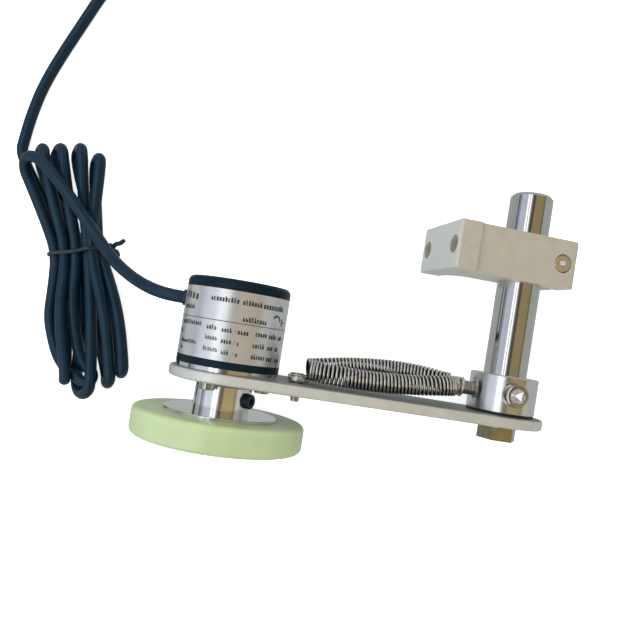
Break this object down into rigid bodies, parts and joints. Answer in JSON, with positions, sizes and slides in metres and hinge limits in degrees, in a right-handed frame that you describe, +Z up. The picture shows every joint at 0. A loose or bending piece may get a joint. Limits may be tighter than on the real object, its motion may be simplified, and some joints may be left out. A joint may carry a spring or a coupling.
{
  "type": "measuring wheel encoder",
  "caption": "Rotary encoder with a rubber-tyred measuring wheel on a sprung arm, clamped to a round post with a split mounting block and a bundled cable.",
  "frame": {"origin": "under the middle of the unit, without its free cable, on the surface that it lies on", "axes": "+Z up from that surface; +Y along the post and the wheel's axis, towards the post's free end; +X from the encoder towards the post"},
  "size_m": [0.2465, 0.2358, 0.0637],
  "materials": {
    "arm_aluminium": "bead-blasted and clear anodised",
    "block_aluminium": "bead-blasted and clear anodised",
    "turned_aluminium": "turned, bright",
    "polished_steel": "ground and polished",
    "collar_steel": "turned and polished",
    "plain_steel": "bright",
    "spring_wire": "drawn spring wire",
    "bearing_steel": "ground",
    "black_steel": "black oxide",
    "bronze": "sintered bronze",
    "brass_spacer": "turned",
    "black_plastic": "satin black",
    "label_foil": null,
    "clear_plastic": "clear",
    "board_green": "solder mask",
    "cable_jacket": "soft black jacket",
    "black_rubber": "moulded",
    "tyre_rubber": "translucent pale green polyurethane"
  },
  "bodies": {
    "mount": {"clamp_block": "block_aluminium", "block_screw": "plain_steel"},
    "post": {"post_shaft": "polished_steel", "pivot_bolt": "plain_steel", "pivot_washer": "plain_steel"},
    "collar": {"collar": "collar_steel", "collar_screw": "polished_steel", "spring_stud": "plain_steel", "thrust_washer": "black_plastic"},
    "arm": {"arm_plate": "arm_aluminium", "pivot_bush": "bronze", "encoder_screws": "plain_steel", "encoder_base": "turned_aluminium", "encoder_cap": "black_plastic", "encoder_label": "label_foil", "cable_gland": "black_rubber", "lower_bearing_outer": "bearing_steel", "upper_bearing_outer": "bearing_steel", "lower_bearing_balls": "bearing_steel", "upper_bearing_balls": "bearing_steel", "circuit_board": "board_green", "board_spacers": "brass_spacer", "light_source": "clear_plastic", "reading_head": "black_plastic", "front_spring": "spring_wire", "back_spring": "spring_wire", "spring_screws": "plain_steel", "cable_lead": "cable_jacket", "cable_hank": "cable_jacket", "cable_free_end": "cable_jacket", "cable_coil": "cable_jacket"},
    "wheel": {"encoder_shaft": "plain_steel", "lower_bearing_inner": "bearing_steel", "upper_bearing_inner": "bearing_steel", "bearing_spacer": "turned_aluminium", "retaining_ring": "spring_wire", "code_disc_hub": "turned_aluminium", "code_disc": "clear_plastic", "wheel_hub": "turned_aluminium", "hub_screw": "black_steel", "wheel_core": "turned_aluminium", "core_screws": "plain_steel", "tyre": "tyre_rubber"}
  },
  "joints": [
    {"name": "shaft_slide", "type": "slide", "parent": "mount", "child": "post", "axis": [0, 1, 0], "range_m": [-0.015, 0.034]},
    {"name": "collar_turn", "type": "hinge", "parent": "post", "child": "collar", "pos_m": [0.05804, 0, 0.016], "axis": [0, 1, 0], "continuous": true},
    {"name": "arm_swing", "type": "hinge", "parent": "collar", "child": "arm", "pos_m": [0.05804, 0, 0.016], "axis": [0, 1, 0], "range_deg": [-25, 25], "stiffness_Nm_per_rad": 1.15, "deforming": ["front_spring", "back_spring"]},
    {"name": "wheel_spin", "type": "hinge", "parent": "arm", "child": "wheel", "pos_m": [-0.04475, 0, 0.03183], "axis": [0, 1, 0], "continuous": true}
  ]
}
